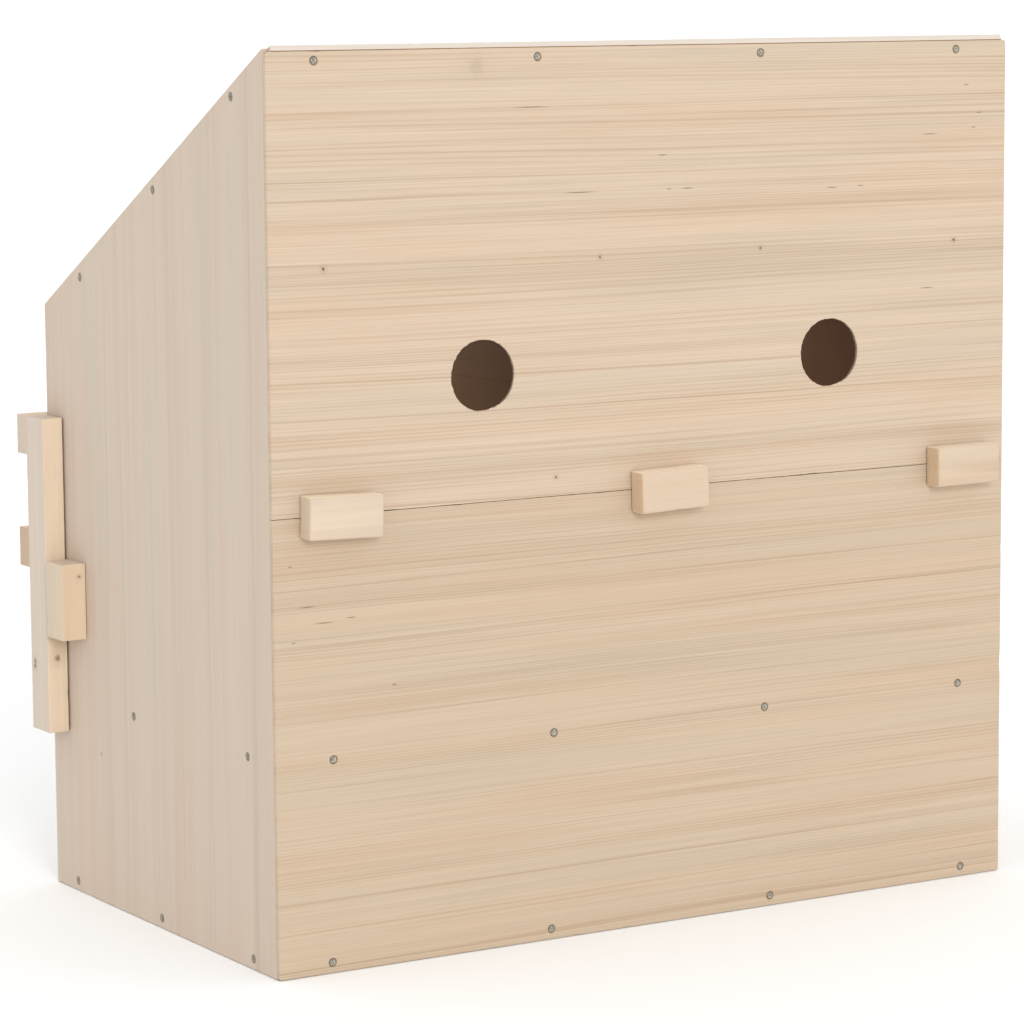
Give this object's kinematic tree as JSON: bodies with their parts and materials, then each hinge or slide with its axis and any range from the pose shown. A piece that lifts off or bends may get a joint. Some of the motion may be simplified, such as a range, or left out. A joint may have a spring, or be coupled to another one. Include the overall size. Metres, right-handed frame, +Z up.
{
  "type": "nesting box",
  "caption": "Wooden hen nesting box with a lean-to roof, twin nests side by side, round vents in the back and a folding landing perch on the front.",
  "frame": {"origin": "middle of the whole object's footprint, on the ground it stands on", "axes": "+X along the width, towards the right-hand side seen from the front; +Y from the front with the perch to the high back; +Z up"},
  "size_m": [0.6706, 0.3996, 0.6441],
  "materials": {
    "back_plywood": "raw poplar plywood, straight level grain, matt",
    "side_plywood": "raw plywood, faint upright grain, greyish beige, matt",
    "batten_wood": "planed softwood batten, eased edges, matt",
    "zinc_hardware": "zinc-plated steel, slightly dull"
  },
  "bodies": {
    "box": {"back_base_screw_1": "zinc_hardware", "back_base_screw_2": "zinc_hardware", "back_base_screw_3": "zinc_hardware", "back_base_screw_4": "zinc_hardware", "back_cleat_left": "batten_wood", "back_cleat_middle": "batten_wood", "back_cleat_right": "batten_wood", "back_floor_screw_1": "zinc_hardware", "back_floor_screw_2": "zinc_hardware", "back_floor_screw_3": "zinc_hardware", "back_floor_screw_4": "zinc_hardware", "back_sheet_lower": "back_plywood", "back_sheet_upper": "back_plywood", "back_top_screw_1": "zinc_hardware", "back_top_screw_2": "zinc_hardware", "back_top_screw_3": "zinc_hardware", "back_top_screw_4": "zinc_hardware", "base_batten_front": "batten_wood", "base_batten_left": "batten_wood", "base_batten_rear": "batten_wood", "base_batten_right": "batten_wood", "divider_foot_batten": "batten_wood", "divider_sheet": "side_plywood", "floor_batten_front": "batten_wood", "floor_batten_left": "batten_wood", "floor_batten_rear": "batten_wood", "floor_batten_right": "batten_wood", "floor_sheet": "side_plywood", "front_sheet": "side_plywood", "roof_batten_front": "batten_wood", "roof_batten_left": "batten_wood", "roof_batten_middle": "batten_wood", "roof_batten_rear": "batten_wood", "roof_batten_right": "batten_wood", "roof_sheet": "side_plywood", "side_base_screw_1": "zinc_hardware", "side_base_screw_2": "zinc_hardware", "side_base_screw_3": "zinc_hardware", "side_floor_screw_1": "zinc_hardware", "side_floor_screw_2": "zinc_hardware", "side_roof_screw_1": "zinc_hardware", "side_roof_screw_2": "zinc_hardware", "side_roof_screw_3": "zinc_hardware", "side_sheet_left": "side_plywood", "side_sheet_right": "side_plywood", "stop_block_left": "batten_wood", "stop_block_right": "batten_wood"},
    "perch": {"perch_arm_left": "batten_wood", "perch_arm_right": "batten_wood", "perch_rail_lower": "batten_wood", "perch_rail_upper": "batten_wood", "pivot_screw_left": "zinc_hardware", "pivot_screw_right": "zinc_hardware", "pivot_spacer_left": "zinc_hardware", "pivot_spacer_right": "zinc_hardware", "pivot_washer_left": "zinc_hardware", "pivot_washer_right": "zinc_hardware"}
  },
  "joints": [
    {"name": "perch_fold", "type": "hinge", "parent": "box", "child": "perch", "pos_m": [0, -0.168, 0.1826], "axis": [1, 0, 0], "range_deg": [0, 90]}
  ]
}
